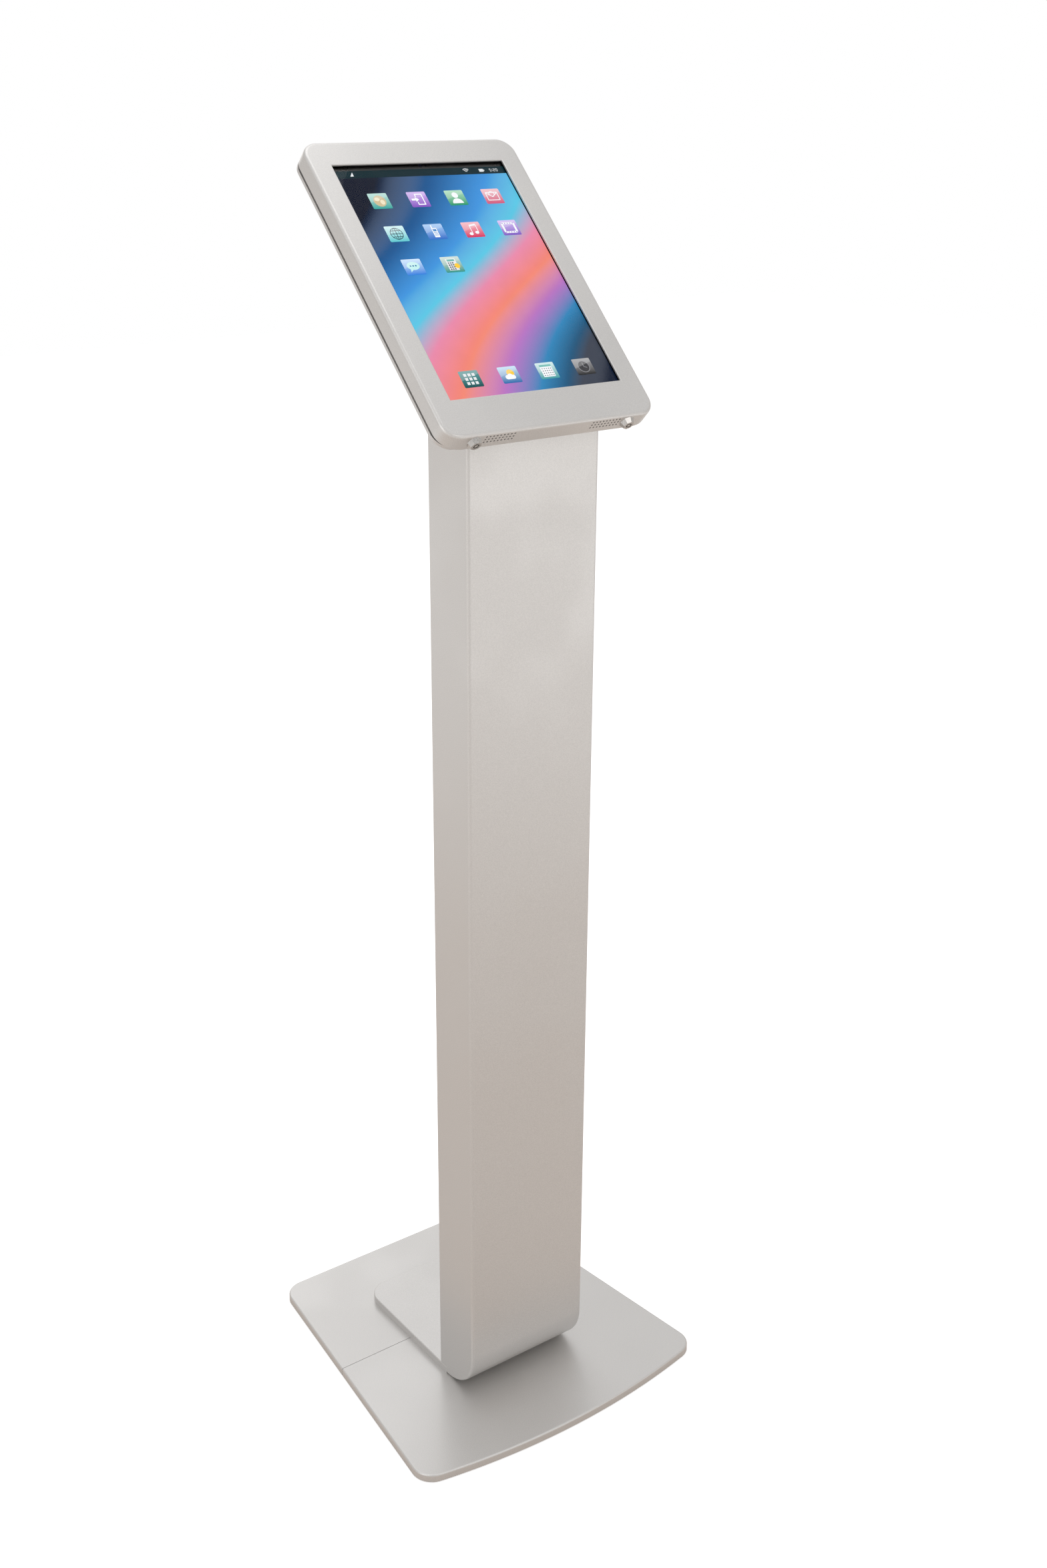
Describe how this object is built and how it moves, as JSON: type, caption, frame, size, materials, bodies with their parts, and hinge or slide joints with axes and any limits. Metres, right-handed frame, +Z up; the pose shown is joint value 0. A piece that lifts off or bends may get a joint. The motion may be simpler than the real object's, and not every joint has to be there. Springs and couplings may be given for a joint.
{
  "type": "touchscreen kiosk",
  "caption": "Free-standing kiosk: a tablet in a lockable tilted enclosure with a hinged cover, on a slim folded-sheet post over a tapered flat base.",
  "frame": {"origin": "on the floor, at the middle of the base's footprint", "axes": "+Z up; -Y is the front, towards the visitor; +X is to the right of a visitor who faces the screen"},
  "size_m": [0.2966, 0.306, 1.0468],
  "materials": {
    "silver_coat": "satin silver powder coat with a fine metallic speckle",
    "steel_zinc": "zinc plated steel, dull",
    "chrome": "polished nickel-chrome plating",
    "lock_brass": "turned brass",
    "rubber_black": "black moulded rubber",
    "foam_black": "black closed-cell foam",
    "screen_glass": "toughened glass over a lit display, black border",
    "display": "display module, grey metal back",
    "case_dark": "anodised dark grey",
    "cell_black": "foil-wrapped battery cell",
    "board_green": "circuit board lacquer",
    "chip_black": "moulded chip package",
    "plastic_black": "fine textured black plastic",
    "lead_white": "white flexible cable jacket"
  },
  "bodies": {
    "stand": {"adapter_inlet_pins": "steel_zinc", "adapter_screws": "steel_zinc", "adapter_strap": "steel_zinc", "anchor_bolts": "steel_zinc", "anchor_brackets": "steel_zinc", "back_grommet": "rubber_black", "base_front_plate": "silver_coat", "base_pads": "rubber_black", "base_rear_plate": "silver_coat", "base_screws": "steel_zinc", "battery_cells": "cell_black", "board_chips": "chip_black", "charge_lead": "lead_white", "charge_plug": "lead_white", "charge_port": "steel_zinc", "clip_screws": "steel_zinc", "display_panel": "display", "enclosure_back": "silver_coat", "foot_plate": "silver_coat", "front_camera": "plastic_black", "head_mount_plate": "steel_zinc", "head_mount_screws": "steel_zinc", "hinge_pins": "steel_zinc", "lock_strikes": "steel_zinc", "logic_board": "board_green", "mount_gussets": "steel_zinc", "post_shell": "silver_coat", "power_adapter": "plastic_black", "rear_cover": "silver_coat", "rear_cover_screws": "steel_zinc", "rear_cover_tabs": "steel_zinc", "rear_grommet": "rubber_black", "strike_screws": "steel_zinc", "tablet_clips": "steel_zinc", "tablet_glass": "screen_glass", "tablet_housing": "case_dark", "tablet_pads": "foam_black", "tablet_speakers": "plastic_black"},
    "cover": {"enclosure_cover": "silver_coat", "cover_gasket": "foam_black", "speaker_mesh": "foam_black", "left_lock_body": "chrome", "left_lock_nut": "lock_brass", "right_lock_body": "chrome", "right_lock_nut": "lock_brass"},
    "left_lock_core": {"left_lock_plug": "chrome", "left_lock_cam": "steel_zinc", "left_cam_screw": "steel_zinc"},
    "right_lock_core": {"right_lock_plug": "chrome", "right_lock_cam": "steel_zinc", "right_cam_screw": "steel_zinc"},
    "power_button": {"power_key": "case_dark"},
    "volume_up_button": {"volume_up_key": "case_dark"},
    "volume_down_button": {"volume_down_key": "case_dark"}
  },
  "joints": [
    {"name": "cover_hinge", "type": "hinge", "parent": "stand", "child": "cover", "pos_m": [0, 0.09167, 1.03649], "axis": [-1, 0, 0], "range_deg": [0, 75]},
    {"name": "left_lock_turn", "type": "hinge", "parent": "cover", "child": "left_lock_core", "pos_m": [-0.0684, -0.10124, 0.85731], "axis": [0, -0.7157, -0.6984], "range_deg": [0, 90]},
    {"name": "right_lock_turn", "type": "hinge", "parent": "cover", "child": "right_lock_core", "pos_m": [0.0684, -0.10124, 0.85731], "axis": [0, 0.7157, 0.6984], "range_deg": [0, 90]},
    {"name": "power_press", "type": "slide", "parent": "stand", "child": "power_button", "axis": [0, -0.7157, -0.6984], "range_m": [0, 0.0004], "stiffness_N_per_m": 400},
    {"name": "volume_up_press", "type": "slide", "parent": "stand", "child": "volume_up_button", "axis": [-1, 0, 0], "range_m": [0, 0.0004], "stiffness_N_per_m": 400},
    {"name": "volume_down_press", "type": "slide", "parent": "stand", "child": "volume_down_button", "axis": [-1, 0, 0], "range_m": [0, 0.0004], "stiffness_N_per_m": 400}
  ]
}
